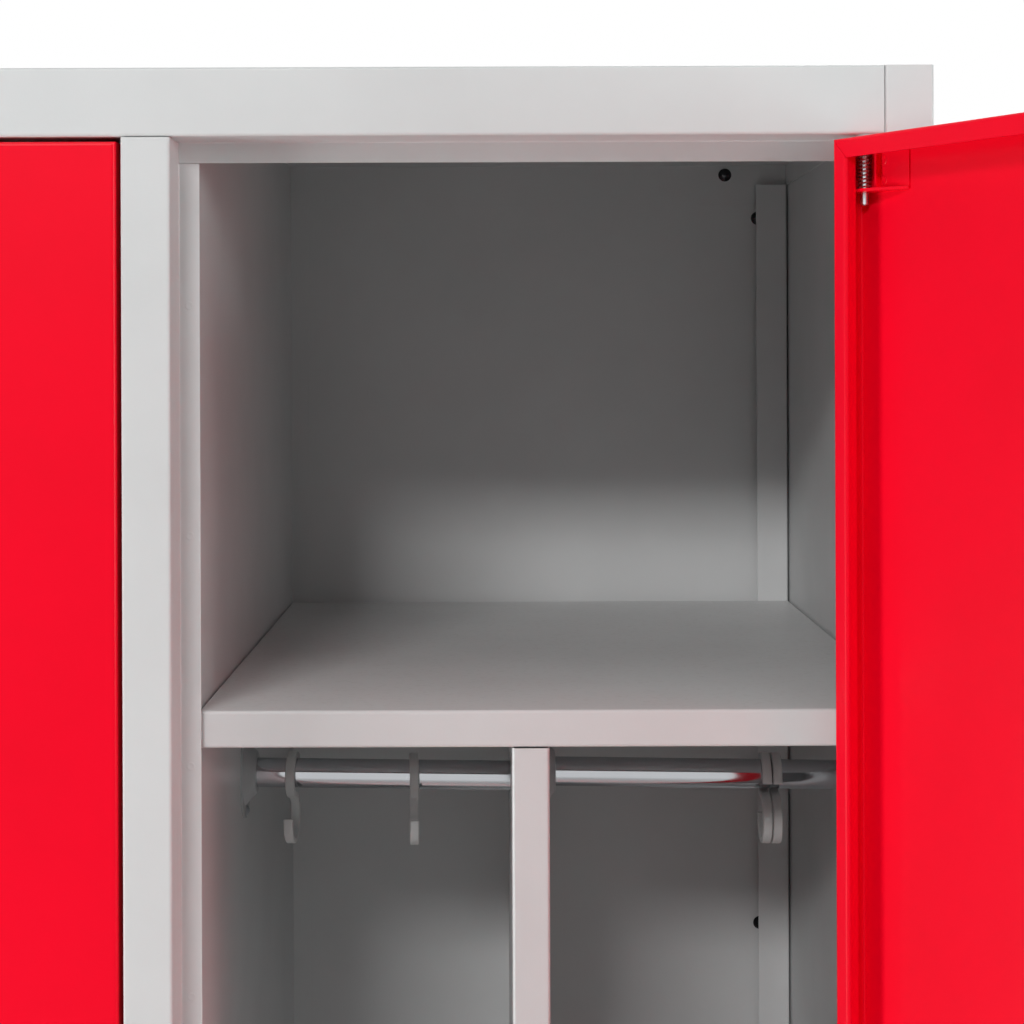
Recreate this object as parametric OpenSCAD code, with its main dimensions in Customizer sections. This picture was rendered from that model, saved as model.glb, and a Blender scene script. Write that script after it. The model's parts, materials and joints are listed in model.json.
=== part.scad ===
// Two-door changing room locker of folded sheet steel.
// Millimetres, +Z up. The origin is on the floor at the middle of the carcass, and the doors face -Y.
// The right door stands open at rest, and the left one is closed.

/* [Carcass] */
// Overall height
carcass_h = 1800; // [1600:10:2100]
// Overall width
carcass_w = 800; // [740:10:1000]
// Overall depth of the carcass
carcass_d = 500; // [420:10:600]
// Thickness of the carcass sheet
sheet_t = 0.8; // [0.6:0.1:1.2]
// Inside radius of the bends in the carcass sheet
bend_r = 0.8; // [0.6:0.1:1.2]
// Width of the front face of each upright
post_w = 25; // [22:1:40]
// Height of the rail across the top of the doors
top_rail_h = 35; // [28:1:60]
// Height of the rail under the doors
base_rail_h = 62; // [45:1:120]
// Foot turned back under the base rail
base_toe = 14; // [8:1:20]
// How far the door stop lies behind the front
stop_depth = 28; // [26:1:36]
// Width of the door stop flange
stop_w = 10.8; // [9:0.2:14]
// Gap left at the seams between folded parts
seam = 0.3; // [0.2:0.1:0.6]

/* [Back and top] */
// Width of the flange behind the back panel
rear_flange_w = 32; // [28:1:45]
// Depth of the folded edge of the back panel
back_fold = 10; // [8:1:16]
// Width of the strip that the folded edge shows inside
back_strip_w = 23.2; // [18:0.2:28]
// Gap between the folded edge and the side panel
back_gap = 1.2; // [0.8:0.1:2]
// Drop of the rear flange of the top panel
top_rear_drop = 31.5; // [24:0.5:40]
// Drop of the side flanges of the top panel
top_side_drop = 16; // [10:1:22]
// Drop of the side flanges of the floor panel
floor_side_drop = 40; // [20:1:44]
// Width of the channel under the middle of the floor
channel_w = 40; // [30:1:60]
// Width of each edge of that channel
channel_edge = 12; // [8:1:20]

/* [Divider] */
// Width of the hollow wall between the two compartments
divider_w = 41; // [36:1:46]
// Flange of each divider wall on the back panel
divider_flange = 13; // [8:1:20]
// Flange of each divider wall behind the centre post
divider_front = 8; // [5:0.5:12]

/* [Hat shelf] */
// Height from the shelf to the top of the carcass
hat_h = 332; // [250:2:420]
// Height of the front lip of the shelf
shelf_lip = 19.5; // [15:0.5:30]
// How far the shelf lies behind the front
shelf_setback = 32; // [30:1:60]
// Width of the fold under the front lip
shelf_under = 12; // [8:1:20]
// Gap between the shelf and the walls
shelf_gap = 0.8; // [0.4:0.1:1.2]

/* [Partition] */
// Thickness of the partition
partition_w = 19.6; // [16:0.2:28]
// How far the partition stands from the middle of the door opening, towards the hinge
partition_off = 1.3; // [-20:0.1:20]
// Width of the rear edges of the partition
partition_edge = 6; // [4:0.5:8]

/* [Coat rails] */
// Diameter of the coat rails
rail_d = 18; // [14:1:25]
// Wall of the coat rails
rail_wall = 1; // [0.8:0.1:2]
// From the top of the shelf down to the middle of the rails
rail_drop = 73.2; // [62:0.2:120]
// How far each coat rail falls towards the side panel, in degrees
rail_fall = 0.9; // [0:0.1:1]
// From the front of the carcass to the middle of the rails
rail_back = 220; // [150:5:260]
// Thickness of the foot plate of a rail socket
socket_t = 1.2; // [1:0.1:2]
// How far a rail socket stands off its wall
socket_reach = 8.2; // [7:0.2:12]
// Wall of the socket round the end of the rail
socket_wall = 2.6; // [2:0.2:5]
// How much the radius of a socket grows towards its foot
socket_flare = 8.2; // [5:0.2:9]
// From a socket screw to the end of the foot plate
socket_edge = 4.2; // [3.8:0.2:6]

/* [Hooks] */
// Width of a hook along the rail
hook_w = 5.6; // [4:0.2:9]
// Thickness of the bar that a hook is bent from
hook_bar = 3.8; // [3:0.2:5]
// Play between the rail and the eye of a hook
hook_play = 1.4; // [0.8:0.1:2.5]
// Inside radius of the lower bow of a hook
hook_bow_r = 11.8; // [7:0.1:16]
// How far the open end of the eye lies below the middle of the rail, in degrees
hook_eye_tip = 10; // [-30:2:25]
// How far round the bow of a hook goes, in degrees
hook_bow_turn = 270; // [200:5:280]
// From the divider wall to the first hook
hook_1_at = 30; // [20:1:60]
// From the divider wall to the second hook
hook_2_at = 105; // [75:1:140]
// From the side panel to the third hook
hook_3_at = 56.3; // [36:0.1:100]
// Gap between the third and the fourth hook
hook_pair_gap = 0.8; // [0.6:0.1:4]
// How far the first two hooks are turned on the right rail, in degrees
hook_turn = 3.5; // [0:0.5:5]
// How far their bows are swung towards the front, in degrees
hook_swing = 8; // [0:1:12]

/* [Doors] */
// How far the right door stands open, in degrees
door_open = 122; // [0:1:122]
// Gap round the doors
door_gap = 2.4; // [1.8:0.1:3]
// Depth of the folded door
door_d = 20; // [16:1:22]
// Thickness of the door sheet
door_t = 1; // [0.8:0.1:1.2]
// Inside radius of the bends in the door sheet
door_r = 1; // [0.8:0.1:1.4]
// Width of the flange turned in behind the door
door_flange = 10; // [8:0.5:12]
// Depth of the lip on that flange
door_lip = 6.5; // [4:0.5:8]
// Width of the air slots
vent_w = 120; // [80:5:140]
// Height of an air slot
vent_h = 3.4; // [2.5:0.1:3.8]
// Pitch of the air slots
vent_pitch = 14; // [10:1:20]
// Number of air slots in each group
vent_count = 5; // [3:1:7]
// From the end of the door to the first air slot
vent_in = 90; // [60:5:140]
// Width of the stiffener inside the door
stiffener_w = 46; // [36:2:60]
// Height of the stiffener off the door sheet
stiffener_h = 12; // [8:1:14]
// Width of each edge of the stiffener
stiffener_edge = 14; // [8:1:16]
// From the end of the door to the stiffener
stiffener_in = 210; // [190:5:300]
// Diameter of the rubber buffers
buffer_d = 7; // [5:0.5:7]
// From the end of the door to a buffer
buffer_in = 140; // [60:5:300]

/* [Hinges] */
// From the edge of the door to the hinge axis
pivot_in = 7.2; // [7:0.1:7.6]
// From the front of the door to the hinge axis
pivot_back = 5; // [4.8:0.1:5.2]
// Diameter of the hinge pins
pin_d = 4.5; // [4:0.1:4.6]
// Running clearance round a pin
pin_fit = 0.05; // [0.03:0.01:0.08]
// How far a pin stands out of the door
pin_reach = 7.4; // [6:0.2:9]
// Length of the plain end below the top bracket
pin_tail = 6.5; // [4:0.5:9]
// Thickness of the collar on the top pin
collar_t = 1.5; // [1:0.1:2.5]
// Length of a hinge bracket along the door
bracket_l = 35; // [25:1:50]
// Height of a hinge bracket
bracket_h = 27; // [22:1:36]
// Thickness of a hinge bracket
bracket_t = 1.5; // [1:0.1:2]
// Depth of the ear that holds the pin
ear_d = 11; // [9.5:0.5:13]
// Height of the low wall on a bracket
bracket_wall = 4; // [2:0.5:5]
// Outside diameter of the spring
spring_d = 7.2; // [6.6:0.1:7.3]
// Diameter of the spring wire
spring_wire = 0.9; // [0.7:0.1:1]
// Number of curls in a spring
spring_turns = 11; // [7:1:12]
// Wall of a hinge bush
bush_wall = 0.9; // [0.7:0.1:1]
// Width of the rim of a hinge bush
bush_rim = 1.4; // [1:0.1:1.5]
// Thickness of the rim of the top bushes
bush_rim_t = 1.2; // [0.8:0.1:1.3]

/* [Locks] */
// Height of the locks above the floor
lock_z = 950; // [800:10:1200]
// From the free edge of the door to the lock
lock_in = 28; // [26:0.5:30]
// Diameter of the lock body
lock_d = 19; // [16:0.5:20]
// Diameter of the rim of the lock
lock_rim_d = 23; // [22:0.5:28]
// Thickness of the rim of the lock
lock_rim_t = 2; // [1:0.5:3]
// Diameter of the plug
plug_d = 12; // [10:0.5:13]
// Running clearance round the plug
plug_fit = 0.1; // [0.05:0.05:0.2]
// Thickness of the lock nut
nut_t = 4; // [3:0.5:6]
// Reach of the cam from the middle of the lock
cam_reach = 37; // [35:0.5:39]
// Width of the cam
cam_w = 14; // [12:0.5:16]
// Thickness of the cam
cam_t = 2; // [1.5:0.1:2.4]
// Room between the back of the door and the cam
cam_room = 1.8; // [1.5:0.1:2]
// Room round the cam in the post
slot_room = 2.6; // [2:0.1:2.6]

/* [Screws] */
// Diameter of the carcass screws
screw_d = 5; // [4:0.5:6]
// Diameter of the head of a carcass screw
screw_head_d = 10; // [8:0.5:11]
// From the top of the carcass to the first side screw
screw_top = 41; // [36:1:80]
// From the floor to the last side screw
screw_bottom = 145; // [110:5:200]
// Number of screws down each side
screw_rows = 4; // [3:1:6]
// Distance of the side screws from the side of the carcass
screw_in = 23.2; // [20:0.2:26]
// Distance of the top screws from the side of the carcass
top_screw_in = 48; // [40:1:120]
// Depth of the top screws below the top of the carcass
top_screw_drop = 8; // [7:0.5:14]
// Diameter of the small screws in sockets and shelves
small_d = 3.5; // [3:0.5:4]
// Diameter of the head of a small screw
small_head_d = 7; // [6:0.5:8]
// From the front of a shelf to its first screw
shelf_screw_in = 90; // [60:5:160]

/* [Hidden] */

// Colours
light_grey = "#D9DADA";
signal_red = "#F5052D";
zinc = "#C9CCD0";
chrome = "#E6E8EA";
dark_steel = "#3A3A3C";
hook_grey = "#C4C6C6";
nylon = "#B9BBBC";
rubber = "#2B2B2B";

round_fn = 48; // facets of a round part
bend_steps = 4; // flats in a quarter turn of sheet
seat = 0.3; // gap where one part rests on another
over = 1; // how far a cut runs past what it cuts

// Planes of the carcass: x, y and z of the middle of a sheet, unless the name says face
half_w = carcass_w / 2;
half_d = carcass_d / 2;
side_x = half_w - sheet_t / 2;
front_y = -half_d + sheet_t / 2;
rear_y = half_d - sheet_t / 2;
opening_x = half_w - post_w; // face of the side upright towards the door
return_x = opening_x + sheet_t / 2;
stop_face_y = -half_d + stop_depth;
stop_y = stop_face_y + sheet_t / 2;
back_y = rear_y - sheet_t;
inner_rear_y = back_y - sheet_t;
rear_face_y = inner_rear_y - sheet_t / 2;
roof_z = carcass_h - sheet_t / 2;
soffit_face_z = carcass_h - top_rail_h;
stop_top_z = soffit_face_z - stop_w;
floor_face_z = base_rail_h + stop_w;
post_x = post_w / 2;
divider_x = divider_w / 2;
wall_face_x = half_w - sheet_t; // inside of the side panel
middle_w = 2 * opening_x - 2 * seam; // length of what fits between the side uprights

// Back panel
fold_x = wall_face_x - back_gap; // outside of the folded edge
fold_face_y = back_y + sheet_t / 2 - back_fold; // front of the strip
strip_top_z = carcass_h - top_side_drop - seam;
strip_bottom_z = floor_face_z + seam;

// Shelf, partition and rails
shelf_z = carcass_h - hat_h;
shelf_front_y = -half_d + shelf_setback;
shelf_rear_y = fold_face_y - seam;
partition_x = (post_x + opening_x) / 2 + partition_off;
partition_left_x = partition_x - partition_w / 2;
partition_right_x = partition_x + partition_w / 2;
rail_y = -half_d + rail_back;
rail_z = shelf_z - rail_drop;
rail_r = rail_d / 2;
rail_slip = 0.1; // round a screw, a lock or a nut in its hole
rail_play = 0.2; // round the ends of a rail
socket_r = rail_r + socket_wall; // at the outer end of a socket
socket_foot_r = socket_r + socket_flare;
socket_screw_at = socket_foot_r + small_head_d / 2 + 0.5; // from the middle of a socket

// Ends of the two rails in a compartment. The inner one has a socket on the divider wall and passes
// through a hole into the hollow partition. The outer one has a socket at each end.
inner_ends = [divider_x + socket_t, partition_right_x - sheet_t];
outer_ends = [partition_right_x + socket_t, wall_face_x - socket_t];
function middle(ends) = (ends[0] + ends[1]) / 2;
function ends_at(x) = x < partition_x ? inner_ends : outer_ends;
function rail_z_at(x) = rail_z - (x - middle(ends_at(x))) * tan(rail_fall);

// Hooks
eye_r = rail_r + hook_play; // inside of the eye
eye_drop = hook_play - seat; // the eye hangs on top of the rail
eye_mid_r = eye_r + hook_bar / 2;
bow_mid_r = hook_bow_r + hook_bar / 2;
hook_round = 0.9; // rounding of the edges of the bar
hook_1_x = divider_x + hook_1_at;
hook_2_x = divider_x + hook_2_at;
hook_3_x = wall_face_x - hook_3_at;
hook_4_x = hook_3_x + hook_w + hook_pair_gap;

// Doors, given for the right door when it is closed
door_x0 = post_x + door_gap;
door_x1 = opening_x - door_gap;
door_z0 = base_rail_h + door_gap;
door_z1 = soffit_face_z - door_gap;
door_w = door_x1 - door_x0;
door_h = door_z1 - door_z0;
door_face_y = -half_d;
door_back_y = door_face_y + door_d;
skin_y = door_face_y + door_t; // inside of the door sheet
pivot = [door_x1 - pivot_in, door_face_y + pivot_back];
pin_r = pin_d / 2;
bush_r = pin_r + pin_fit + bush_wall;
bush_len = pin_reach - door_gap + seat;
ear_z = door_z1 - bracket_h; // underside of the ear of the top bracket
collar_z = door_z1 - door_t - seat - collar_t; // underside of the collar
collar_r = spring_d / 2;
spring_len = collar_z - ear_z - bracket_t - 2 * seat;
spring_r = spring_d / 2 - spring_wire / 2;
lock_x = door_x0 + lock_in;
cam_y = door_back_y + cam_room; // front face of the cam
plug_front_y = door_face_y - lock_rim_t + 0.4;
cam_pin = 7; // across flats of the square that carries the cam
cam_screw_d = 4;
cam_screw_head_d = 8;
slot_low = sqrt(pow(cam_reach, 2) - pow(lock_x - post_x - cam_w / 2, 2)) + cam_w / 2;
dir_rest = -90; // the cam hangs down when unlocked

// Sheet that is folded along a line. Each side of the outline is the line moved by half the
// thickness, with an arc at each square bend.
function left_of(v) = [-v.y, v.x];
function unit(v) = v / norm(v);
function turned(v, a) = [v.x * cos(a) - v.y * sin(a), v.x * sin(a) + v.y * cos(a)];
function bend(p, a, b, t, r, side) =
    let (way = cross(a, b) > 0 ? 1 : -1, mid = r + t / 2,
         c = p - a * mid + way * left_of(a) * mid, rad = mid - side * way * t / 2)
    [for (k = [0 : bend_steps]) c + turned(-way * left_of(a) * rad, way * 90 * k / bend_steps)];
function fold_side(line, t, r, side) =
    let (last = len(line) - 1)
    [for (i = [0 : last])
        let (a = i > 0 ? unit(line[i] - line[i - 1]) : unit(line[1] - line[0]),
             b = i < last ? unit(line[i + 1] - line[i]) : a)
        each i == 0 || i == last ? [line[i] + side * t / 2 * left_of(a)]
            : bend(line[i], a, b, t, r, side)];
function backwards(list) = [for (i = [len(list) - 1 : -1 : 0]) list[i]];
module fold(line, t = sheet_t, r = bend_r)
    polygon(concat(fold_side(line, t, r, 1), backwards(fold_side(line, t, r, -1))));

// Profiles drawn in y and z run along x, and profiles drawn in x and z run along y
module along_x(x0, x1) translate([x0, 0, 0]) rotate([90, 0, 90]) linear_extrude(x1 - x0) children();
module along_y(y0, y1) translate([0, y1, 0]) rotate([90, 0, 0]) linear_extrude(y1 - y0) children();
module between(low, high) translate(low) cube(high - low);

// Rectangle with round corners, drawn from the origin
module round_rect(size, r) polygon([
    for (c = [[size.x - r, r, -90], [size.x - r, size.y - r, 0], [r, size.y - r, 90], [r, r, 180]])
        for (k = [0 : bend_steps]) [c[0], c[1]] + r * [cos(c[2] + 90 * k / bend_steps),
                                                       sin(c[2] + 90 * k / bend_steps)]]);

// Block whose bends run along x and y. Its sheet face is at z = 0.
module tray_block(size, r) intersection() {
    along_x(0, size.x) round_rect([size.y, size.z], r);
    along_y(0, size.y) round_rect([size.x, size.z], r);
}

// Hollow folded tray, still closed on its open side
module closed_tray(size, t, r) difference() {
    tray_block(size, r + t);
    translate([t, t, t]) tray_block(size - 2 * t * [1, 1, 1], r);
}

module on_left() mirror([1, 0, 0]) children();
module both_sides() { children(); on_left() children(); }

// Side panel with its front upright, door stop and rear flange
module side_panel() color(light_grey) difference() {
    linear_extrude(carcass_h)
        fold([[half_w - rear_flange_w, rear_y], [side_x, rear_y], [side_x, front_y],
              [return_x, front_y], [return_x, stop_y], [opening_x - stop_w, stop_y]]);
    between([opening_x - stop_w - over, stop_face_y - seam, stop_top_z - seam],
            [opening_x, stop_y + sheet_t, carcass_h + over]);
    between([opening_x - stop_w - over, stop_face_y - seam, -over],
            [opening_x, stop_y + sheet_t, floor_face_z + seam]);
    shelf_screw_holes();
    socket_screw_holes();
    back_screw_holes();
}

// Side strips of the roof or the floor, behind the uprights
module wing(sheet_z, drop) {
    x = wall_face_x - sheet_t / 2;
    along_y(stop_y + sheet_t / 2 + seam, rear_face_y + sheet_t)
        fold([[opening_x - 2 * seam, sheet_z], [x, sheet_z], [x, sheet_z - drop + sheet_t / 2]]);
}

module top_panel() color(light_grey) difference() {
    union() {
        along_x(-middle_w / 2, middle_w / 2)
            fold([[inner_rear_y, carcass_h - top_rear_drop], [inner_rear_y, roof_z],
                  [front_y, roof_z], [front_y, soffit_face_z + sheet_t / 2],
                  [stop_y, soffit_face_z + sheet_t / 2], [stop_y, stop_top_z]]);
        both_sides() {
            wing(roof_z, top_side_drop);
            between([opening_x - 2 * seam, rear_face_y, carcass_h - top_side_drop],
                    [wall_face_x - sheet_t, rear_face_y + sheet_t, roof_z]);
            between([opening_x + sheet_t + seam, front_y + sheet_t / 2 + seam, carcass_h - sheet_t],
                    [wall_face_x - seam, stop_y + sheet_t / 2 + 2 * seam, carcass_h]);
        }
    }
    both_sides() bush_hole(soffit_face_z);
    back_screw_holes();
}

module bottom_panel() color(light_grey) difference() {
    union() {
        along_x(-middle_w / 2, middle_w / 2)
            fold([[inner_rear_y, 0], [inner_rear_y, floor_face_z - sheet_t / 2],
                  [stop_y, floor_face_z - sheet_t / 2], [stop_y, base_rail_h - sheet_t / 2],
                  [front_y, base_rail_h - sheet_t / 2], [front_y, sheet_t / 2],
                  [front_y + base_toe, sheet_t / 2]]);
        both_sides() wing(floor_face_z - sheet_t / 2, floor_side_drop);
    }
    both_sides() bush_hole(base_rail_h);
}

module back_panel() color(light_grey) difference() {
    fold_mid_x = fold_x - sheet_t / 2;
    edge_y = fold_face_y + sheet_t / 2;
    linear_extrude(carcass_h)
        fold([[fold_x - back_strip_w, edge_y], [fold_mid_x, edge_y], [fold_mid_x, back_y],
              [-fold_mid_x, back_y], [-fold_mid_x, edge_y], [-fold_x + back_strip_w, edge_y]]);
    both_sides() for (z = [[-over, strip_bottom_z], [strip_top_z, carcass_h + over]])
        between([fold_x - back_strip_w - over, fold_face_y - over, z[0]],
                [fold_x + over, back_y - sheet_t / 2, z[1]]);
    back_screw_holes();
}

// Channel that carries the middle of the floor
module base_channel() color(light_grey)
    along_y(stop_y + sheet_t / 2 + bend_r, inner_rear_y - sheet_t / 2 - bend_r) {
        x = channel_w / 2;
        z = floor_face_z - sheet_t * 3 / 2;
        fold([[-x - channel_edge, z], [-x, z], [-x, sheet_t / 2],
              [x, sheet_t / 2], [x, z], [x + channel_edge, z]]);
    }

module centre_post() color(light_grey) difference() {
    edge_x = post_x + stop_w;
    x = post_x - sheet_t / 2;
    translate([0, 0, base_rail_h + seam])
        linear_extrude(soffit_face_z - base_rail_h - 2 * seam)
            fold([[-edge_x, stop_y], [-x, stop_y], [-x, front_y],
                  [x, front_y], [x, stop_y], [edge_x, stop_y]]);
    between([-edge_x - over, stop_face_y - seam, stop_top_z - seam],
            [edge_x + over, stop_y + sheet_t, soffit_face_z]);
    between([-edge_x - over, stop_face_y - seam, base_rail_h],
            [edge_x + over, stop_y + sheet_t, floor_face_z + seam]);
    lock_slots();
}

// Slots that the cams of both locks turn into
module lock_slots() both_sides()
    between([0, cam_y - slot_room, lock_z - slot_low - slot_room],
            [post_x + over, cam_y + cam_t + slot_room, lock_z + cam_w / 2 + slot_room]);

module divider_wall() color(light_grey) difference() {
    x = divider_x - sheet_t / 2;
    y = stop_y + sheet_t;
    translate([0, 0, floor_face_z]) linear_extrude(carcass_h - sheet_t - floor_face_z)
        fold([[divider_x - divider_front, y], [x, y], [x, inner_rear_y],
              [divider_x + divider_flange, inner_rear_y]]);
    between([0, rear_face_y - bend_r, carcass_h - top_rear_drop - seam],
            [divider_x + divider_flange + over, half_d, carcass_h]);
    shelf_screw_holes();
    socket_screw_holes();
}

// Hat shelf: a tray with its open side down, and a fold under the front lip
module shelf() color(light_grey) difference() {
    x0 = divider_x + shelf_gap;
    size = [wall_face_x - shelf_gap - x0, shelf_rear_y - shelf_front_y, shelf_lip];
    translate([x0, shelf_rear_y, shelf_z]) rotate([180, 0, 0]) closed_tray(size, sheet_t, bend_r);
    between([x0 + sheet_t, shelf_front_y + shelf_under, shelf_z - shelf_lip - over],
            [x0 + size.x - sheet_t, shelf_rear_y - sheet_t, shelf_z - shelf_lip + sheet_t + over]);
    shelf_screw_holes();
}

function shelf_screw_places() = [for (y = [shelf_front_y + shelf_screw_in,
                                           shelf_rear_y - shelf_screw_in]) [y, shelf_z - shelf_lip / 2]];
module shelf_screw_holes() for (p = shelf_screw_places())
    translate([divider_x - 2 * sheet_t, p[0], p[1]]) rotate([0, 90, 0])
        cylinder(h = half_w + 2 * over, d = small_d + 2 * rail_slip, $fn = round_fn);

// Partition below the shelf: one sheet folded round its front edge
module partition_wall() color(light_grey) difference() {
    x = partition_w / 2 - sheet_t / 2;
    y = rear_face_y - sheet_t / 2;
    translate([partition_x, 0, floor_face_z]) linear_extrude(shelf_z - shelf_lip - 2 * seam - floor_face_z)
        fold([[partition_w / 2 - partition_edge, y + sheet_t], [x, y + sheet_t],
              [x, shelf_front_y + sheet_t / 2], [-x, shelf_front_y + sheet_t / 2],
              [-x, y + sheet_t], [partition_edge - partition_w / 2, y + sheet_t]]);
    translate([partition_left_x - over, rail_y, rail_z_at(partition_left_x)]) rotate([0, 90, 0])
        cylinder(h = sheet_t + 2 * over, r = rail_r + rail_play, $fn = round_fn);
    socket_screw_holes();
}

module coat_rail(ends) color(chrome)
    translate([middle(ends), rail_y, rail_z]) rotate([0, 90 + rail_fall, 0]) difference() {
        length = ends[1] - ends[0] - 2 * rail_play;
        cylinder(h = length, r = rail_r, center = true, $fn = round_fn);
        cylinder(h = length + 2 * over, r = rail_r - rail_wall, center = true, $fn = round_fn);
    }

// Where the sockets are: x of the wall face, and 1 or -1 for the way the socket looks
inner_walls = [[divider_x, 1]];
outer_walls = [[partition_right_x, 1], [wall_face_x, -1]];
function bore_z(w) = rail_z_at(w[0] + w[1] * (socket_t + socket_reach) / 2);
module at_walls(walls) for (w = walls)
    translate([w[0], rail_y, bore_z(w)]) rotate([0, 90 * w[1], 0]) children();

// Rail socket: a foot plate with round ends and a cone that ends in a rounded rim
module sockets(walls) color(nylon) at_walls(walls) difference() {
    rim = 1.8;
    side = socket_foot_r + 0.2;
    arm = socket_screw_at + socket_edge - side;
    union() {
        for (x = [-arm, arm]) translate([x, 0, 0]) cylinder(h = socket_t, r = side, $fn = round_fn);
        translate([-arm, -side, 0]) cube([2 * arm, 2 * side, socket_t]);
        rotate_extrude($fn = round_fn) polygon([[0, 0], [socket_foot_r, 0], [socket_foot_r, socket_t],
            [socket_r + rim, socket_reach - rim * 0.6], [socket_r + rim * 0.7, socket_reach - rim * 0.2],
            [socket_r, socket_reach], [0, socket_reach]]);
    }
    translate([0, 0, socket_t]) cylinder(h = socket_reach, r = rail_r + rail_play, $fn = round_fn);
    for (x = [-1, 1]) translate([x * socket_screw_at, 0, -over])
        cylinder(h = socket_t + 2 * over, d = small_d + 2 * rail_slip, $fn = round_fn);
}

// Round-headed screw along +Z, with its head above z = 0
module screw(d, head_d, length) {
    head_h = head_d * 0.28;
    ball_r = (pow(head_d / 2, 2) + pow(head_h, 2)) / (2 * head_h);
    translate([0, 0, -length]) cylinder(h = length + head_h / 2, d = d, $fn = round_fn);
    intersection() {
        translate([0, 0, head_h - ball_r]) sphere(r = ball_r, $fn = round_fn);
        cylinder(h = head_h, d = head_d, $fn = round_fn);
    }
}

module at_socket_screws() at_walls(concat(inner_walls, outer_walls))
    for (x = [-socket_screw_at, socket_screw_at]) translate([x, 0, 0]) children();
module socket_screw_holes() at_socket_screws() translate([0, 0, -over - sheet_t])
    cylinder(h = sheet_t + 2 * over, d = small_d + 2 * rail_slip, $fn = round_fn);
module socket_screws() color(zinc) both_sides() at_socket_screws()
    translate([0, 0, socket_t]) screw(small_d, small_head_d, socket_t + sheet_t);
module shelf_screws() color(zinc) both_sides() for (p = shelf_screw_places()) {
    translate([divider_x + shelf_gap + sheet_t, p[0], p[1]]) rotate([0, 90, 0])
        screw(small_d, small_head_d, shelf_gap + 2 * sheet_t);
    translate([wall_face_x - shelf_gap - sheet_t, p[0], p[1]]) rotate([0, -90, 0])
        screw(small_d, small_head_d, shelf_gap + 2 * sheet_t);
}

// Screws of the back panel: x, z and the face that the head lies on
screw_pitch = (carcass_h - screw_top - screw_bottom) / (screw_rows - 1);
function back_screw_places() = concat(
    [for (i = [0 : screw_rows - 1]) [half_w - screw_in, carcass_h - screw_top - i * screw_pitch,
                                     back_y - sheet_t / 2]],
    [[half_w - top_screw_in, carcass_h - top_screw_drop, rear_face_y]]);
module back_screw_holes() both_sides() for (p = back_screw_places())
    translate([p[0], half_d + over, p[1]]) rotate([90, 0, 0])
        cylinder(h = 4 * sheet_t + over, d = screw_d + 2 * rail_slip, $fn = round_fn);
module back_screws() color(dark_steel) both_sides() for (p = back_screw_places())
    translate([p[0], p[2], p[1]]) rotate([90, 0, 0]) screw(screw_d, screw_head_d, half_d - p[2]);

// Plain bushes that the hinge pins turn in
module bush_hole(z) translate([pivot.x, pivot.y, z - bush_len])
    cylinder(h = 2 * bush_len, r = bush_r + pin_fit, $fn = round_fn);
module bush(rim_t) difference() {
    union() {
        translate([0, 0, -rim_t]) cylinder(h = rim_t, r = bush_r + bush_rim, $fn = round_fn);
        cylinder(h = bush_len, r = bush_r, $fn = round_fn);
    }
    translate([0, 0, -rim_t - over])
        cylinder(h = bush_len + rim_t + 2 * over, r = pin_r + pin_fit, $fn = round_fn);
}
module hinge_bushes() color(nylon) both_sides() translate([pivot.x, pivot.y, 0]) {
    translate([0, 0, soffit_face_z]) bush(bush_rim_t);
    translate([0, 0, base_rail_h]) mirror([0, 0, 1]) bush(door_gap - seat);
}

// Puts a part of the closed right door where the open door has it
module on_right_door() translate(pivot) rotate([0, 0, door_open]) translate(-pivot) children();

// Turns what is drawn for the top of the door over to its bottom
module at_door_bottom() translate([0, 0, door_z0 + door_z1]) mirror([0, 0, 1]) children();

// Door: a tray with flanges all round, lips on the upright ones, and mitres at the corners
module door_panel() color(signal_red) translate([door_x0, door_face_y, door_z0])
    mirror([0, 1, 0]) rotate([90, 0, 0]) difference() {
        corner = door_r + door_t;
        lip_x = door_flange - door_t / 2;
        flange_z = door_d - door_t / 2;
        union() {
            difference() {
                closed_tray([door_w, door_h, door_d], door_t, door_r);
                between([door_flange - corner, door_flange, door_d - door_t - over],
                        [door_w - door_flange + corner, door_h - door_flange, door_d + over]);
            }
            for (m = [0, 1]) translate([m * door_w, 0, 0]) mirror([m, 0, 0])
                along_y(door_flange - door_t / 2, door_h - door_flange + door_t / 2)
                    fold([[door_flange - 2 * corner, flange_z], [lip_x, flange_z],
                          [lip_x, door_d - door_lip]], door_t, door_r);
        }
        for (m = [0, 1]) for (n = [0, 1])
            translate([m * door_w, n * door_h, 0]) mirror([m, 0, 0]) mirror([0, n, 0])
                translate([corner, corner, door_d - door_t - over / 2]) rotate([0, 0, 45])
                    translate([0, -seam / 2, 0])
                        cube([(door_flange - corner) * sqrt(2), seam, door_t + over]);
        for (n = [0, 1]) translate([0, n * door_h, 0]) mirror([0, n, 0]) {
            for (i = [0 : vent_count - 1]) translate([door_w / 2, vent_in + i * vent_pitch, -over]) {
                end_x = (vent_w - vent_h) / 2;
                translate([-end_x, -vent_h / 2, 0]) cube([2 * end_x, vent_h, door_t + 2 * over]);
                for (x = [-end_x, end_x]) translate([x, 0, 0])
                    cylinder(h = door_t + 2 * over, d = vent_h, $fn = 24);
            }
            translate([pivot.x - door_x0, -over, pivot_back]) rotate([-90, 0, 0])
                cylinder(h = door_t + 2 * over, r = pin_r + 2 * pin_fit, $fn = round_fn);
        }
        translate([lock_in, lock_z - door_z0, -over])
            cylinder(h = door_t + 2 * over, d = lock_d + 2 * rail_slip, $fn = round_fn);
    }

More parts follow.
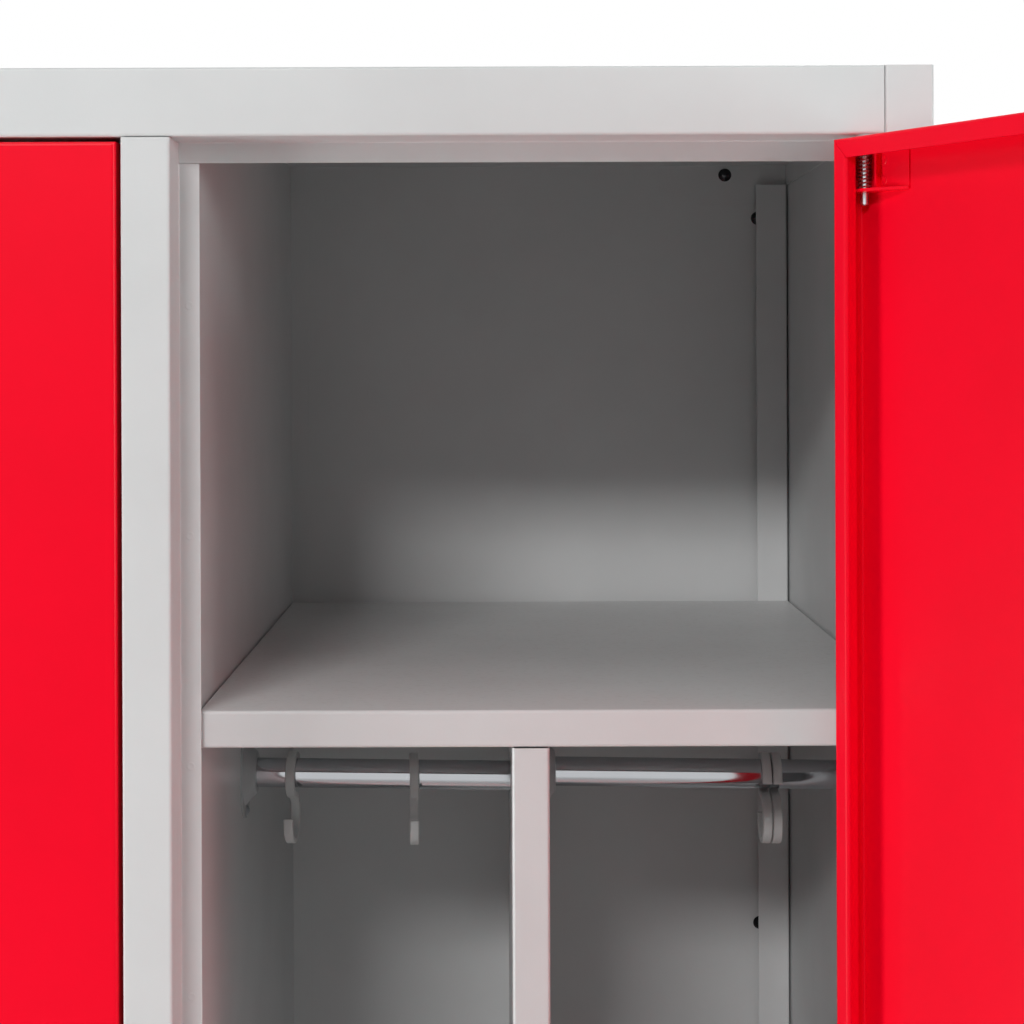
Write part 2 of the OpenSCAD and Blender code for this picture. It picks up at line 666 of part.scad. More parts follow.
// Stiffener with a hat section, inside the door
module door_stiffener() color(signal_red)
    translate([door_x0 + door_w / 2, skin_y, door_z0 + stiffener_in])
        linear_extrude(door_h - 2 * stiffener_in) {
            x = stiffener_w / 2;
            y = door_t / 2;
            fold([[-x - stiffener_edge, y], [-x, y], [-x, stiffener_h - y],
                  [x, stiffener_h - y], [x, y], [x + stiffener_edge, y]], door_t, door_r);
        }

// Top hinge bracket: plate on the door sheet, low wall beside the pin, and a tapering ear below
module hinge_bracket() color(signal_red) difference() {
    x1 = door_x1 - door_t - door_r;
    x0 = door_x1 - door_t - bracket_l;
    wall_x = pivot.x - spring_d;
    top_z = door_z1 - door_t - door_r;
    union() {
        between([x0, skin_y, ear_z], [x1, skin_y + bracket_t / 2, top_z]);
        between([wall_x - bracket_t, skin_y, ear_z], [wall_x, skin_y + bracket_wall, top_z]);
        translate([0, 0, ear_z]) linear_extrude(bracket_t) polygon([[x0, skin_y], [x1, skin_y],
            [x1, skin_y + ear_d - 2], [x1 - 2, skin_y + ear_d], [wall_x, skin_y + ear_d],
            [x0, skin_y + bracket_t]]);
    }
    translate([pivot.x, pivot.y, ear_z - over])
        cylinder(h = bracket_t + 2 * over, r = pin_r + pin_fit, $fn = round_fn);
    translate([pivot.x, pivot.y, ear_z + bracket_t])
        cylinder(h = bracket_h, r = spring_d / 2 + seat, $fn = round_fn);
}

// Top pin: the spring holds its collar up, and pulling it down frees the door
module top_pin() color(zinc) translate([pivot.x, pivot.y, 0]) {
    tip_z = door_z1 + pin_reach;
    nose = pin_r * 0.4;
    translate([0, 0, ear_z - pin_tail]) rotate_extrude($fn = round_fn)
        polygon([[0, 0], [pin_r - 0.5, 0], [pin_r, 0.5], [pin_r, tip_z - ear_z + pin_tail - nose],
                 [pin_r - nose, tip_z - ear_z + pin_tail], [0, tip_z - ear_z + pin_tail]]);
    translate([0, 0, collar_z]) cylinder(h = collar_t, r = collar_r, $fn = round_fn);
}

// Bottom pin: fixed in the bracket, and its shoulder stands on the bottom of the door
module bottom_pin() color(zinc) translate([pivot.x, pivot.y, 0]) {
    top_z = door_z0 + bracket_h + 1;
    nose = pin_r * 0.4;
    low_z = door_z0 - pin_reach;
    translate([0, 0, low_z]) rotate_extrude($fn = round_fn)
        polygon([[0, 0], [pin_r - nose, 0], [pin_r, nose], [pin_r, top_z - low_z], [0, top_z - low_z]]);
    translate([0, 0, door_z0 + door_t]) cylinder(h = collar_t, r = pin_r + 1, $fn = round_fn);
}

// Spring wire: the curls, with a straight end of one wire thickness at each end of the tube
wire_r = spring_wire / 2;
spring_rings = 8;
spring_rise = spring_len - spring_wire;
function spring_point(i) = let (a = 360 * i / spring_rings)
    [spring_r * cos(a), spring_r * sin(a), wire_r + spring_rise * i / (spring_turns * spring_rings)];
spring_last = spring_turns * spring_rings;
spring_curls = [for (i = [0 : spring_last]) spring_point(i)];
spring_foot = spring_wire * unit(spring_curls[0] - spring_curls[1]);
spring_head = spring_wire * unit(spring_curls[spring_last] - spring_curls[spring_last - 1]);
spring_line = concat([spring_curls[0] + spring_foot], spring_curls,
    [spring_curls[spring_last] + spring_head]);
function wire_ring(i) =
    let (n = len(spring_line) - 1,
         way = unit(spring_line[min(i + 1, n)] - spring_line[max(i - 1, 0)]),
         out = unit([spring_line[i].x, spring_line[i].y, 0]),
         side = unit(out - way * (out * way)), up = cross(way, side))
    [for (k = [0 : 5]) spring_line[i] + wire_r * (side * cos(60 * k) + up * sin(60 * k))];
module pin_spring() color(zinc) translate([pivot.x, pivot.y, ear_z + bracket_t + seat]) {
    n = len(spring_line);
    last = 6 * (n - 1);
    polyhedron(
        points = [for (i = [0 : n - 1]) each wire_ring(i)],
        faces = concat(
            [for (i = [0 : n - 2]) for (k = [0 : 5])
                each [[6 * i + k, 6 * i + (k + 1) % 6, 6 * i + 6 + k],
                      [6 * i + (k + 1) % 6, 6 * i + 6 + (k + 1) % 6, 6 * i + 6 + k]]],
            [for (k = [1 : 4]) [0, k + 1, k]],
            [for (k = [1 : 4]) [last, last + k, last + k + 1]]));
}
spring_gap = min([for (i = [0 : spring_last - spring_rings])
    for (j = [i + spring_rings - 2 : min(i + spring_rings + 2, spring_last)])
        norm(spring_point(j) - spring_point(i))]) - spring_wire;
echo(least_gap_of_the_spring_to_itself = spring_gap);

// Rubber buffers on the flange at the free edge
module door_buffers() color(rubber) for (z = [door_z0 + buffer_in, door_z1 - buffer_in])
    translate([(door_x0 + post_x + stop_w) / 2, stop_face_y - seat, z]) rotate([90, 0, 0])
        cylinder(h = stop_face_y - seat - door_back_y, d = buffer_d, $fn = round_fn);

// Lock parts are drawn from the middle of the lock, with +Z towards the inside of the door
module at_lock() translate([lock_x, door_face_y, lock_z]) rotate([-90, 0, 0]) children();
lock_end = cam_y - door_face_y - seat; // rear end of the lock body
module lock_body() color(zinc) at_lock() difference() {
    union() {
        translate([0, 0, -lock_rim_t]) rotate_extrude($fn = round_fn)
            polygon([[0, 0], [lock_rim_d / 2 - 1, 0], [lock_rim_d / 2, 1], [lock_rim_d / 2, lock_rim_t],
                     [0, lock_rim_t]]);
        cylinder(h = lock_end, d = lock_d, $fn = round_fn);
    }
    translate([0, 0, -lock_rim_t - over])
        cylinder(h = lock_end + lock_rim_t + 2 * over, d = plug_d + 2 * plug_fit, $fn = round_fn);
}
module lock_nut() color(zinc) at_lock() translate([0, 0, door_t]) difference() {
    cylinder(h = nut_t, d = (lock_d + 4) * 2 / sqrt(3), $fn = 6);
    translate([0, 0, -over]) cylinder(h = nut_t + 2 * over, d = lock_d + 2 * rail_slip, $fn = round_fn);
}
module lock_plug() color(chrome) at_lock() difference() {
    key = [1.6, 7, 5];
    front_z = plug_front_y - door_face_y;
    union() {
        translate([0, 0, front_z]) cylinder(h = lock_end - front_z, d = plug_d, $fn = round_fn);
        translate([-cam_pin / 2, -cam_pin / 2, 0]) cube([cam_pin, cam_pin, lock_end + seat + cam_t]);
    }
    translate([-key.x / 2, -key.y / 2, front_z - over]) cube(key);
    translate([0, 0, lock_end - 8]) cylinder(h = 20, d = cam_screw_d + 2 * rail_slip, $fn = round_fn);
}
module lock_cam() color(zinc) at_lock() translate([0, 0, lock_end + seat]) difference() {
    tip = cam_reach - cam_w / 2;
    union() {
        cylinder(h = cam_t, d = cam_w, $fn = round_fn);
        rotate([0, 0, -dir_rest]) {
            translate([0, -cam_w / 2, 0]) cube([tip, cam_w, cam_t]);
            translate([tip, 0, 0]) cylinder(h = cam_t, d = cam_w, $fn = round_fn);
        }
    }
    hole = cam_pin + 2 * rail_slip;
    translate([-hole / 2, -hole / 2, -over]) cube([hole, hole, cam_t + 2 * over]);
}
module cam_screw() color(zinc) at_lock() translate([0, 0, lock_end + seat + cam_t])
    screw(cam_screw_d, cam_screw_head_d, 8);

// Hook: an eye clipped over the rail, and below it a bow that holds the hanger. Both arcs start
// where they meet, under the rail, and the open side of the bow looks to -y.
module bar_section() translate([-hook_bar / 2, -hook_w / 2]) round_rect([hook_bar, hook_w], hook_round);
module bar_arc(mid_z, r, start, sweep) translate([0, 0, mid_z]) rotate([90, 0, 90])
    rotate([0, 0, start]) mirror([0, 1, 0])
        rotate_extrude(angle = sweep, $fn = round_fn) translate([r, 0]) bar_section();
module hook() color(hook_grey) {
    bar_arc(0, eye_mid_r, -90, 270 + hook_eye_tip);
    bar_arc(-eye_mid_r - bow_mid_r, bow_mid_r, 90, hook_bow_turn);
}
module hook_at(x, turn = 0, swing = 0) translate([x, rail_y, rail_z_at(x) - eye_drop])
    rotate([0, 0, turn]) rotate([-swing, 0, 0]) hook();

on_left() side_panel();  // left_side_panel
side_panel();  // right_side_panel
top_panel();
bottom_panel();
back_panel();
base_channel();
centre_post();
on_left() divider_wall();  // left_divider_wall
divider_wall();  // right_divider_wall
on_left() shelf();  // left_shelf
shelf();  // right_shelf
on_left() partition_wall();  // left_partition
partition_wall();  // right_partition
on_left() coat_rail(inner_ends);  // left_inner_rail
on_left() coat_rail(outer_ends);  // left_outer_rail
coat_rail(inner_ends);  // right_inner_rail
coat_rail(outer_ends);  // right_outer_rail
on_left() sockets(inner_walls);  // left_inner_socket
on_left() sockets(outer_walls);  // left_outer_sockets
sockets(inner_walls);  // right_inner_socket
sockets(outer_walls);  // right_outer_sockets
socket_screws();
shelf_screws();
back_screws();
hinge_bushes();
on_left() door_panel();  // left_door_panel
on_left() door_stiffener();  // left_door_stiffener
on_left() hinge_bracket();  // left_top_bracket
on_left() at_door_bottom() hinge_bracket();  // left_bottom_bracket
on_left() bottom_pin();  // left_bottom_pin
on_left() top_pin();  // left_top_pin
on_left() pin_spring();  // left_pin_spring
on_left() door_buffers();  // left_door_buffers
on_left() lock_body();  // left_lock_body
on_left() lock_nut();  // left_lock_nut
on_left() lock_plug();  // left_lock_plug
on_left() lock_cam();  // left_lock_cam
on_left() cam_screw();  // left_cam_screw
on_right_door() door_panel();  // right_door_panel
on_right_door() door_stiffener();  // right_door_stiffener
on_right_door() hinge_bracket();  // right_top_bracket
on_right_door() at_door_bottom() hinge_bracket();  // right_bottom_bracket
on_right_door() bottom_pin();  // right_bottom_pin
on_right_door() top_pin();  // right_top_pin
on_right_door() pin_spring();  // right_pin_spring
on_right_door() door_buffers();  // right_door_buffers
on_right_door() lock_body();  // right_lock_body
on_right_door() lock_nut();  // right_lock_nut
on_right_door() lock_plug();  // right_lock_plug
on_right_door() lock_cam();  // right_lock_cam
on_right_door() cam_screw();  // right_cam_screw
on_left() hook_at(hook_1_x, 0, hook_swing);  // left_hook_1
on_left() hook_at(hook_2_x, 0, hook_swing);  // left_hook_2
on_left() hook_at(hook_3_x, 180);  // left_hook_3
on_left() hook_at(hook_4_x, 180);  // left_hook_4
hook_at(hook_1_x, -hook_turn, hook_swing);  // right_hook_1
hook_at(hook_2_x, hook_turn, hook_swing);  // right_hook_2
hook_at(hook_3_x, 180);  // right_hook_3
hook_at(hook_4_x, 180);  // right_hook_4
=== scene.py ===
# %% [markdown]
# # A changing room locker
#
# The locker's sheets, rails, hooks, hinges and locks come from the imported frame as solids, in
# metres, with the doors facing -Y. Their shapes are right as they are, so this script leaves them
# alone. It gives each one its finish, adds the marks that spot welding leaves on thin sheet, stands
# a copy of each hinge spring on its door, and sets the floor, the light and the camera.

# %% The frame
import json
import math

import bmesh
import bpy
from mathutils import Matrix, Vector


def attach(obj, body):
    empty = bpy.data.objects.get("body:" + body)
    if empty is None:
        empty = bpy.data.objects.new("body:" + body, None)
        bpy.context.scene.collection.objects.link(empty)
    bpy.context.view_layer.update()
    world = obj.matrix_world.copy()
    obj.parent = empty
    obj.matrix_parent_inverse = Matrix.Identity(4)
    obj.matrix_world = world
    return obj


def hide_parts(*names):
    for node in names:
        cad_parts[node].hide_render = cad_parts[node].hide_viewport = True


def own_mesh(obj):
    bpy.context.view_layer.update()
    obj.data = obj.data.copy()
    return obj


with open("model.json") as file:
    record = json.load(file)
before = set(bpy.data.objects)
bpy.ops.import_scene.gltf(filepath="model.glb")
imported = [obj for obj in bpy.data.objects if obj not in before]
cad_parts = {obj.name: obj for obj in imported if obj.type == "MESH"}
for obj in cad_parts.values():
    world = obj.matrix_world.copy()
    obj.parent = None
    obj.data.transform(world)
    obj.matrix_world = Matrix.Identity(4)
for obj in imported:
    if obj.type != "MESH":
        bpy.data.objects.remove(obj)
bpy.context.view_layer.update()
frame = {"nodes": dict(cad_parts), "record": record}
NODES = frame["nodes"]
scene = bpy.context.scene

# %% [markdown]
# ## Shader trees written as sums
#
# A finish is a tree of shader nodes. Laid out by hand it is slow to make, and as a list of links it
# is hard to read. Here a Val stands for one output of the tree, and a sum or a product of Vals adds
# the Math node that works it out, so that a finish reads as a formula.

# %% Sums of shader values
class Val:
    def __init__(self, net, out):
        self.net, self.out = net, out

    def __add__(self, other):
        return self.net.math("ADD", self, other)

    def __mul__(self, other):
        return self.net.math("MULTIPLY", self, other)

    def __pow__(self, other):
        return self.net.math("POWER", self, other)

    __radd__ = __add__
    __rmul__ = __mul__

    def between(self, low, high):
        """0 up to low, 1 from high on, and a smooth step between them."""
        return self.net.val("ShaderNodeMapRange", {"interpolation_type": "SMOOTHSTEP"},
                            {"Value": self, "From Min": low, "From Max": high})

# %% [markdown]
# Every other node comes from one method. It takes the node's type, its settings, and the values or
# links of its sockets. The settings go first, because some of them change what sockets a node has.
# The patterns read Object coordinates, which are metres on the locker, so a grain has a real size.

# %% Nodes of a shader tree
class Net:
    def __init__(self, tree):
        self.tree = tree
        tree.nodes.clear()

    def node(self, kind, settings, sockets):
        made = self.tree.nodes.new(kind)
        for name, value in settings.items():
            setattr(made, name, value)
        for name, value in sockets.items():
            if isinstance(value, Val):
                self.tree.links.new(value.out, made.inputs[name])
            else:
                made.inputs[name].default_value = value
        return made

    def val(self, kind, settings, sockets, out=0):
        return Val(self, self.node(kind, settings, sockets).outputs[out])

    def math(self, operation, a, b):
        return self.val("ShaderNodeMath", {"operation": operation}, {0: a, 1: b})

    def place(self):
        return self.val("ShaderNodeTexCoord", {}, {}, "Object")

    def split(self, vector):
        made = self.node("ShaderNodeSeparateXYZ", {}, {0: vector})
        return [Val(self, out) for out in made.outputs]

    def noise(self, place, scale, detail=2.0, rough=0.5):
        return self.val("ShaderNodeTexNoise", {},
                        {"Vector": place, "Scale": scale, "Detail": detail, "Roughness": rough})

    def cells(self, place, scale):
        return self.val("ShaderNodeTexVoronoi", {}, {"Vector": place, "Scale": scale}, "Distance")

    def blend(self, amount, a, b):
        a, b = [c if isinstance(c, Val) else (*c, 1.0) for c in (a, b)]
        return self.val("ShaderNodeMix", {"data_type": "RGBA"}, {0: amount, 6: a, 7: b}, 2)

    def bump(self, height, distance, strength, onto=None):
        sockets = {"Height": height, "Distance": distance, "Strength": strength}
        if onto is not None:
            sockets["Normal"] = onto
        return self.val("ShaderNodeBump", {}, sockets)

    def principled(self, fixed, colour, rough, normal=None):
        sockets = {**fixed, "Base Color": colour, "Roughness": rough}
        if normal is not None:
            sockets["Normal"] = normal
        return self.val("ShaderNodeBsdfPrincipled", {}, sockets)

    def show(self, shader, kind="ShaderNodeOutputMaterial"):
        self.node(kind, {}, {"Surface": shader})

# %% [markdown]
# Colours are written as they look on a screen, such as #DADBDB, but a shader works with amounts
# of light. The formula between the two is that of sRGB.

# %% Colours and new materials
def linear(screen_colour):
    parts = [int(screen_colour[i:i + 2], 16) / 255 for i in (1, 3, 5)]
    return tuple(c / 12.92 if c <= 0.04045 else ((c + 0.055) / 1.055) ** 2.4 for c in parts)


def material(name):
    made = bpy.data.materials.new(name)
    made.use_nodes = True
    return made, Net(made.node_tree)


FINISH = {}

# %% [markdown]
# ## Powder coat
#
# The carcass and the doors are sheet steel with a baked powder coat. The powder melts and flows
# into a very fine orange peel, and the thin sheet under it is never quite flat. A picture of such a
# coat would repeat along a door and blur near the hinge, so the coat is made of noise: a long wave
# for the sheet, a fine one for the peel, a cloud in the colour, and a little dust where a face
# looks up.

# %% Powder coat in grey and red
def powder_coat(name, tone, deep, shine, gloss, coat):
    made, net = material(name)
    place = net.place()
    peel = net.noise(place, 620, 3.0)
    wave = net.noise(place, 5.5, 1.0)
    cloud = net.noise(place, 14, 3.0)
    up = net.split(net.val("ShaderNodeNewGeometry", {}, {}, "Normal"))[2].between(0.6, 1.0)
    speck = net.noise(place, 260, 2.0).between(0.5, 0.78)
    colour = net.blend(cloud.between(0.3, 0.75), tone, deep)
    colour = net.blend(up * (0.05 + 0.10 * speck), colour, linear("#B9B3AA"))
    normal = net.bump(peel, 0.00005, 0.55, net.bump(wave, 0.0016, 0.25))
    fixed = {"Specular IOR Level": gloss, "Coat Weight": coat, "Coat Roughness": 0.16}
    net.show(net.principled(fixed, colour, shine + 0.07 * cloud + 0.12 * up * speck, normal))
    return made


FINISH["grey_coat"] = powder_coat("grey_coat_look", linear("#DADBDB"), linear("#D6D7D7"),
                                  shine=0.38, gloss=0.30, coat=0.08)
FINISH["red_coat"] = powder_coat("red_coat_look", linear("#FE0027"), linear("#F90025"),
                                 shine=0.36, gloss=0.12, coat=0.04)
print("powder coats:", *FINISH)

# %% [markdown]
# ## Bare and plated metal
#
# The pins, springs, cams and small screws are zinc plated, the coat rails are chromed, and the big
# screws of the back panel have a dark phosphate coat. Metal shows what stands round it, so its own
# colour hardly matters. What tells the three apart is how sharp the reflection is and what breaks
# it: crystals and rubbing on zinc, faint smears along a rail, fine grains on the dark screws.

# %% Zinc plate
def zinc_plate(name):
    made, net = material(name)
    place = net.place()
    crystal = net.cells(place, 330)
    rub = net.noise(place, 260, 3.0, 0.6)
    tone = linear("#C9CCD0")
    colour = net.blend(crystal.between(0.1, 0.9) * 0.35, tone, tuple(0.72 * c for c in tone))
    net.show(net.principled({"Metallic": 1.0}, colour, 0.24 + 0.10 * rub,
                            net.bump(rub, 0.00003, 0.5)))
    return made


FINISH["zinc"] = zinc_plate("zinc_look")

# %% Chrome of the coat rails
def rail_chrome(name):
    made, net = material(name)
    place = net.place()
    along_the_rail = net.val("ShaderNodeMapping", {}, {"Vector": place, "Scale": (0.12, 1.0, 1.0)})
    rub = net.noise(along_the_rail, 900, 3.0, 0.6)
    smear = net.noise(place, 45, 2.0)
    colour = net.blend(smear, linear("#BCBEC1"), linear("#B2B4B8"))
    net.show(net.principled({"Metallic": 1.0}, colour, 0.04 + 0.04 * smear + 0.03 * rub,
                            net.bump(rub, 0.00001, 0.3)))
    return made


FINISH["bright_chrome"] = rail_chrome("bright_chrome_look")

# %% Dark coat of the back panel's screws
def dark_phosphate(name):
    made, net = material(name)
    place = net.place()
    crystal = net.cells(place, 2400)
    rubbed = net.noise(place, 420, 3.0).between(0.62, 0.8)
    colour = net.blend(rubbed * 0.5, linear("#38383A"), linear("#6E6E70"))
    net.show(net.principled({"Metallic": 0.85}, colour, 0.15 + 0.12 * crystal,
                            net.bump(crystal, 0.00002, 0.6)))
    return made


FINISH["dark_screw"] = dark_phosphate("dark_screw_look")
print("with the metals:", *FINISH)

# %% [markdown]
# ## Plastic and rubber
#
# The hooks, rail sockets and hinge bushes are moulded, with the fine satin grain of their mould and
# slow streaks where the plastic flowed. The door buffers are matt black rubber, which holds dust.

# %% Moulded plastic and rubber
def moulded_plastic(name, tone, deep, rough):
    made, net = material(name)
    place = net.place()
    grain = net.noise(place, 1500, 2.0)
    flow = net.noise(place, 90, 2.0)
    net.show(net.principled({"Specular IOR Level": 0.5}, net.blend(flow, tone, deep),
                            rough + 0.1 * grain, net.bump(grain, 0.00003, 0.5)))
    return made


def buffer_rubber(name):
    made, net = material(name)
    place = net.place()
    grain = net.noise(place, 1100, 3.0)
    dust = net.noise(place, 160, 2.0).between(0.5, 0.8)
    colour = net.blend(dust * 0.4, linear("#1F1F20"), linear("#4A4846"))
    net.show(net.principled({"Specular IOR Level": 0.3}, colour, 0.72 + 0.15 * grain,
                            net.bump(grain, 0.00006, 0.7)))
    return made


FINISH["hook_plastic"] = moulded_plastic("hook_plastic_look", linear("#D6D8D7"),
                                         linear("#CDCFCE"), 0.38)
FINISH["nylon"] = moulded_plastic("nylon_look", linear("#B9BBBC"), linear("#B2B4B5"), 0.42)
FINISH["soft_rubber"] = buffer_rubber("soft_rubber_look")

# %% Finishes onto the solids
for part in frame["record"]["subparts"]:
    for holder in NODES[part["node"]].material_slots:
        holder.material = FINISH[part["material_slot"]]

# %% [markdown]
# ## Spot welds
#
# Two sheets of a locker are joined by spot welds, and each leaves a shallow ring under the coat. A
# bump in the material would be no part of the mesh, so each mark is a real form, up to 0.16 mm
# proud. It is round, so half its section is spun about its middle. The marks of a body are then one
# piece.

# %% One weld mark
WELD_SECTION = ((0.0, 0.00002), (0.45, 0.00002), (0.66, 0.00014), (0.84, 0.00016), (1.0, 0.0))
WELD_STEPS = 20
TOUCHING = 1e-6


def weld_mark(radius):
    mark = bmesh.new()
    section = [mark.verts.new((share * radius, 0, height)) for share, height in WELD_SECTION]
    lines = [mark.edges.new(ends) for ends in zip(section, section[1:])]
    bmesh.ops.spin(mark, geom=section + lines, cent=(0, 0, 0), axis=(0, 0, 1),
                   angle=2 * math.pi, steps=WELD_STEPS, use_merge=True)
    bmesh.ops.remove_doubles(mark, verts=mark.verts, dist=TOUCHING)
    mark.normal_update()
    bmesh.ops.reverse_faces(mark, faces=[face for face in mark.faces if face.normal.z < 0])
    for face in mark.faces:
        face.smooth = True
    data = bpy.data.meshes.new("weld_mark")
    mark.to_mesh(data)
    mark.free()
    return data

# %% A shape made into a piece of the locker
def piece(name, shape, body, slot):
    data = bpy.data.meshes.new(name)
    shape.to_mesh(data)
    shape.free()
    data.materials.append(FINISH[slot])
    made = bpy.data.objects.new(name, data)
    scene.collection.objects.link(made)
    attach(made, body)
    print(name, "with", len(data.polygons), "faces on", body)
    return made

# %% The marks of one body
def weld_marks(name, body, slot, spots, radius):
    """A spot is a place on a sheet and the way that the sheet faces there."""
    mark = weld_mark(radius)
    marks = bmesh.new()
    for place, way in spots:
        marks.from_mesh(mark)
        marks.verts.ensure_lookup_table()
        turn = Vector((0, 0, 1)).rotation_difference(Vector(way)).to_matrix().to_4x4()
        bmesh.ops.transform(marks, matrix=Matrix.Translation(Vector(place)) @ turn,
                            verts=marks.verts[-len(mark.vertices):])
    bpy.data.meshes.remove(mark)
    return piece(name, marks, body, slot)

# %% [markdown]
# The right door stands open at rest. Its marks are placed as if it were closed, where they are easy
# to measure, and then turned about the hinge as the door was. The left door is closed and mirrors
# it.

# %% From a closed right door to each door at rest
HINGE_X, HINGE_Y = 0.3654, -0.245
OPEN_ANGLE = math.radians(122)


def door_way(side, x, y, z):
    if side == "left":
        return Vector((-x, y, z))
    return Matrix.Rotation(OPEN_ANGLE, 3, "Z") @ Vector((x, y, z))


def door_point(side, x, y, z):
    if side == "left":
        return Vector((-x, y, z))
    return door_way(side, x - HINGE_X, y - HINGE_Y, z) + Vector((HINGE_X, HINGE_Y, 0))

# %% [markdown]
# A door has two marks on each hinge bracket and a row of twelve along each side of its stiffener.

# %% Marks on the doors
BRACKET_X, BRACKET_FACE_Y = 0.3550, -0.24825
BRACKET_HEIGHTS = (1.7514, 1.7413, 0.0756, 0.0857)
STIFFENER_SIDES, DOOR_SHEET_Y = (0.1595, 0.2275), -0.248
DOOR_WELD_RADIUS = 0.0026


def row(start, pitch, count):
    return [start + pitch * k for k in range(count)]


for side in ("left", "right"):
    inwards = door_way(side, 0, 1, 0)
    spots = [(door_point(side, BRACKET_X, BRACKET_FACE_Y, z), inwards) for z in BRACKET_HEIGHTS]
    spots += [(door_point(side, x, DOOR_SHEET_Y, z), inwards)
              for z in row(0.30, 0.11, 12) for x in STIFFENER_SIDES]
    weld_marks(side + "_door_welds", side + "_door", "red_coat", spots, DOOR_WELD_RADIUS)

# %% [markdown]
# The carcass has marks where the divider walls meet the centre post, along their rear flanges, and
# on the floor panel over the channel that carries it.

# %% Marks on the carcass
POST_X, POST_Y = 0.0178, -0.2220
REAR_X, REAR_Y = 0.0285, 0.2476
CHANNEL_X, FLOOR_PANEL_Z = 0.055, 0.0728
CARCASS_WELD_RADIUS = 0.0023

spots = []
for s in (-1, 1):
    spots += [((s * POST_X, POST_Y, z), (0, -1, 0)) for z in row(0.12, 0.12, 14)]
    spots += [((s * REAR_X, REAR_Y, z), (0, -1, 0)) for z in row(0.15, 0.14, 12)]
    spots += [((s * CHANNEL_X, y, FLOOR_PANEL_Z), (0, 0, 1)) for y in (-0.12, 0.0, 0.12)]
weld_marks("carcass_welds", "carcass", "grey_coat", spots, CARCASS_WELD_RADIUS)

# %% [markdown]
# ## Springs of the hinge pins
#
# The spring of a hinge pin stands on its bracket and shortens as the pin is pulled down, but a CAD
# solid that rides the pin keeps its length and would sink through the bracket. So a copy of it
# rides the door instead, and the CAD solid is hidden. The CAD mesh is loose triangles, so the
# corners of the copy are merged first.

for side in ("left", "right"):
    wire = bmesh.new()
    wire.from_mesh(NODES[side + "_pin_spring"].data)
    bmesh.ops.remove_doubles(wire, verts=wire.verts, dist=TOUCHING)
    coil = piece(side + "_spring_coil", wire, side + "_door", "zinc")
    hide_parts(side + "_pin_spring")
    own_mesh(coil)

# %% [markdown]
# ## Light
#
# The light in the photograph comes from in front and high up on the left. It falls into the
# compartments and leaves their upper ends dark. Weak lamps at the sides lift the uprights and the
# open door, one above lifts the shelf and the floor, and one behind lights the rear of the locker.
# Area lamps are used, because their soft shadows match the ones in the compartments.

# %% Lamps
def lamp(name, place, target, size, watts, tone=(1, 1, 1)):
    data = bpy.data.lights.new(name, "AREA")
    data.shape = "RECTANGLE"
    data.size, data.size_y = size
    data.energy = watts
    data.color = tone
    made = bpy.data.objects.new(name, data)
    made.location = place
    made.rotation_euler = (Vector(target) - Vector(place)).to_track_quat("-Z", "Y").to_euler()
    scene.collection.objects.link(made)
    print("lamp", name, watts, "W")


lamp("key", (-3.1, -12.25, 7.4), (0.2, -0.25, 1.6), (4.2, 1.3), 700)
lamp("left", (-3.0, -1.3, 0.7), (0.0, -0.25, 1.5), (0.8, 1.2), 52)
lamp("right", (3.1, -2.1, 1.7), (0.2, -0.25, 1.4), (0.8, 1.6), 52, tone=(0.86, 1, 1))
lamp("top", (0.2, -1.4, 4.4), (0.2, -1.2, 0.0), (2.4, 2.0), 30)
lamp("back", (1.2, 3.6, 2.6), (0.0, 0.2, 1.1), (1.6, 1.6), 70)

# %% [markdown]
# ## White surroundings
#
# The background is white without lighting the locker: only a ray that comes straight from the
# camera, or by way of metal or glass, sees a strength of 1. The world's other light is faint.

# %% The world
WHITE = (1, 1, 1, 1)


def glow(net, kind, strength):
    return net.val(kind, {}, {"Color": WHITE, "Strength": strength})


def seen(net):
    """1 for a ray that looks, and 0 for light on its way."""
    path = net.node("ShaderNodeLightPath", {}, {})
    eye, mirror, glass = [Val(net, path.outputs[name])
                          for name in ("Is Camera Ray", "Is Glossy Ray", "Is Transmission Ray")]
    return net.math("MAXIMUM", net.math("MAXIMUM", eye, mirror), glass)


def mixed(net, amount, a, b):
    return net.val("ShaderNodeMixShader", {}, {0: amount, 1: a, 2: b})


world = bpy.data.worlds.new("studio")
scene.world = world
world.use_nodes = True
net = Net(world.node_tree)
soft, white = [glow(net, "ShaderNodeBackground", strength) for strength in (0.03, 1.0)]
net.show(mixed(net, seen(net), soft, white), "ShaderNodeOutputWorld")

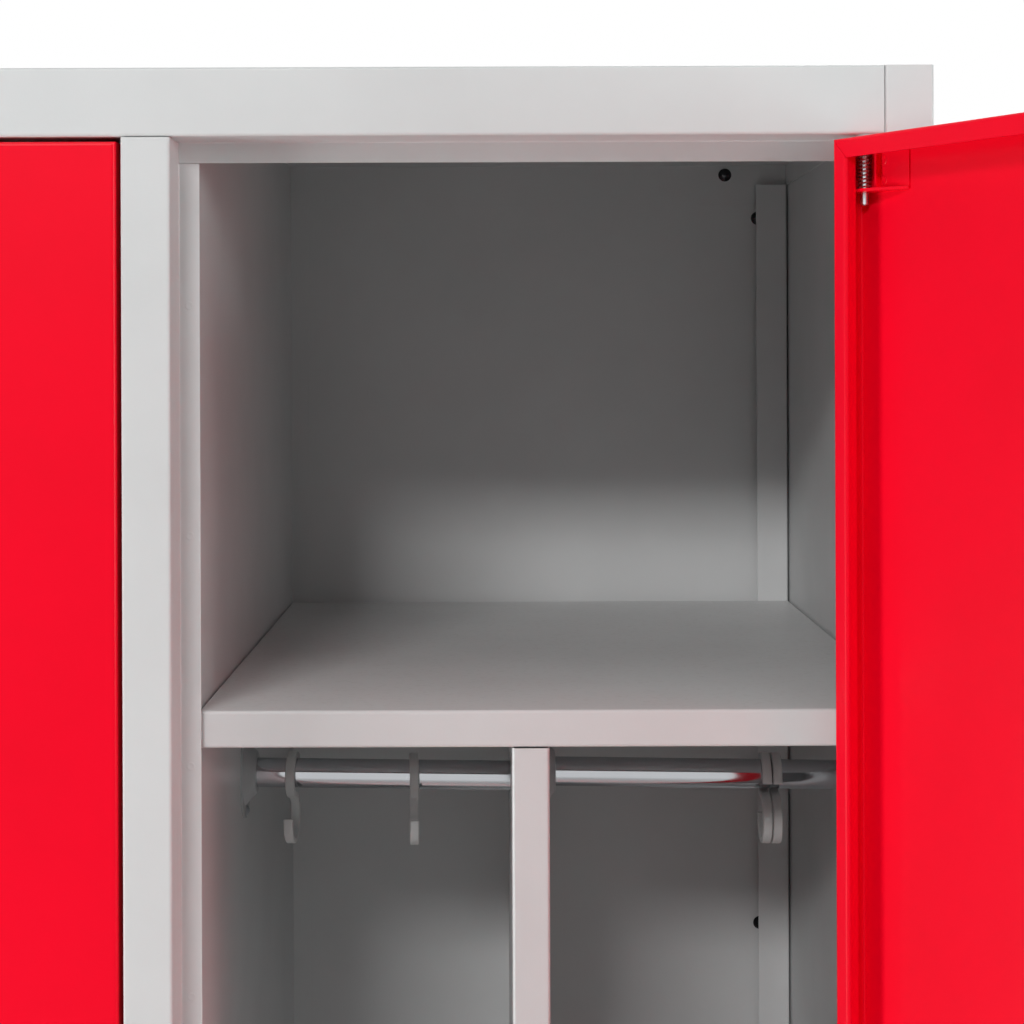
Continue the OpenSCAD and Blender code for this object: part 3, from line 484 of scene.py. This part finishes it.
# %% [markdown]
# The floor is pale and diffuse near the locker, so that it keeps the shadow, and fades to the white
# of the world farther off, so that its edge doesn't show.

# %% The floor
FLOOR_HALF = 4.0
FADE_FROM, FADE_TO = 1.0, 2.6

sheet = bmesh.new()
bmesh.ops.create_grid(sheet, x_segments=1, y_segments=1, size=FLOOR_HALF)
floor_data = bpy.data.meshes.new("floor")
sheet.to_mesh(floor_data)
sheet.free()
floor = bpy.data.objects.new("floor", floor_data)
scene.collection.objects.link(floor)

floor_look, net = material("floor_look")
place = net.place()
lit = net.principled({"Specular IOR Level": 0.2},
                     net.blend(net.noise(place, 3.0, 3.0), linear("#EDEDEC"), linear("#E6E6E5")),
                     0.7 + 0.1 * net.noise(place, 30, 3.0))
x, y, _ = net.split(place)
far = ((x * x + y * y) ** 0.5).between(FADE_FROM, FADE_TO)
net.show(mixed(net, seen(net) * far, lit, glow(net, "ShaderNodeEmission", 1.0)))
floor_data.materials.append(floor_look)
print("floor", 2 * FLOOR_HALF, "m wide, white from", FADE_TO, "m on")

# %% [markdown]
# ## Camera
#
# The photographer stood about a metre from the doors, level with the hat compartment. The uprights
# are parallel in the photograph and the shelf isn't centred, so the camera looks straight ahead and
# its lens is shifted, as on a view camera: the shift is how far the vanishing point lies from the
# middle of the picture.

# %% The photographer's camera
PHOTO_WIDTH, FOCAL_PIXELS, VANISHING = 1024, 1935, (499, 361)
SENSOR = 36

camera_data = bpy.data.cameras.new("camera")
camera_data.sensor_width = SENSOR
camera_data.lens = SENSOR * FOCAL_PIXELS / PHOTO_WIDTH
camera_data.shift_x = (PHOTO_WIDTH / 2 - VANISHING[0]) / PHOTO_WIDTH
camera_data.shift_y = (VANISHING[1] - PHOTO_WIDTH / 2) / PHOTO_WIDTH
camera_data.clip_start = 0.05
camera_data.clip_end = 50
camera = bpy.data.objects.new("camera", camera_data)
camera.location = (0.1791, -1.230, 1.6506)
camera.rotation_euler = (math.radians(90), math.radians(0.2), 0)
scene.collection.objects.link(camera)
scene.camera = camera
scene.view_settings.view_transform = "Standard"
print("camera with a lens of", round(camera_data.lens, 1), "mm")
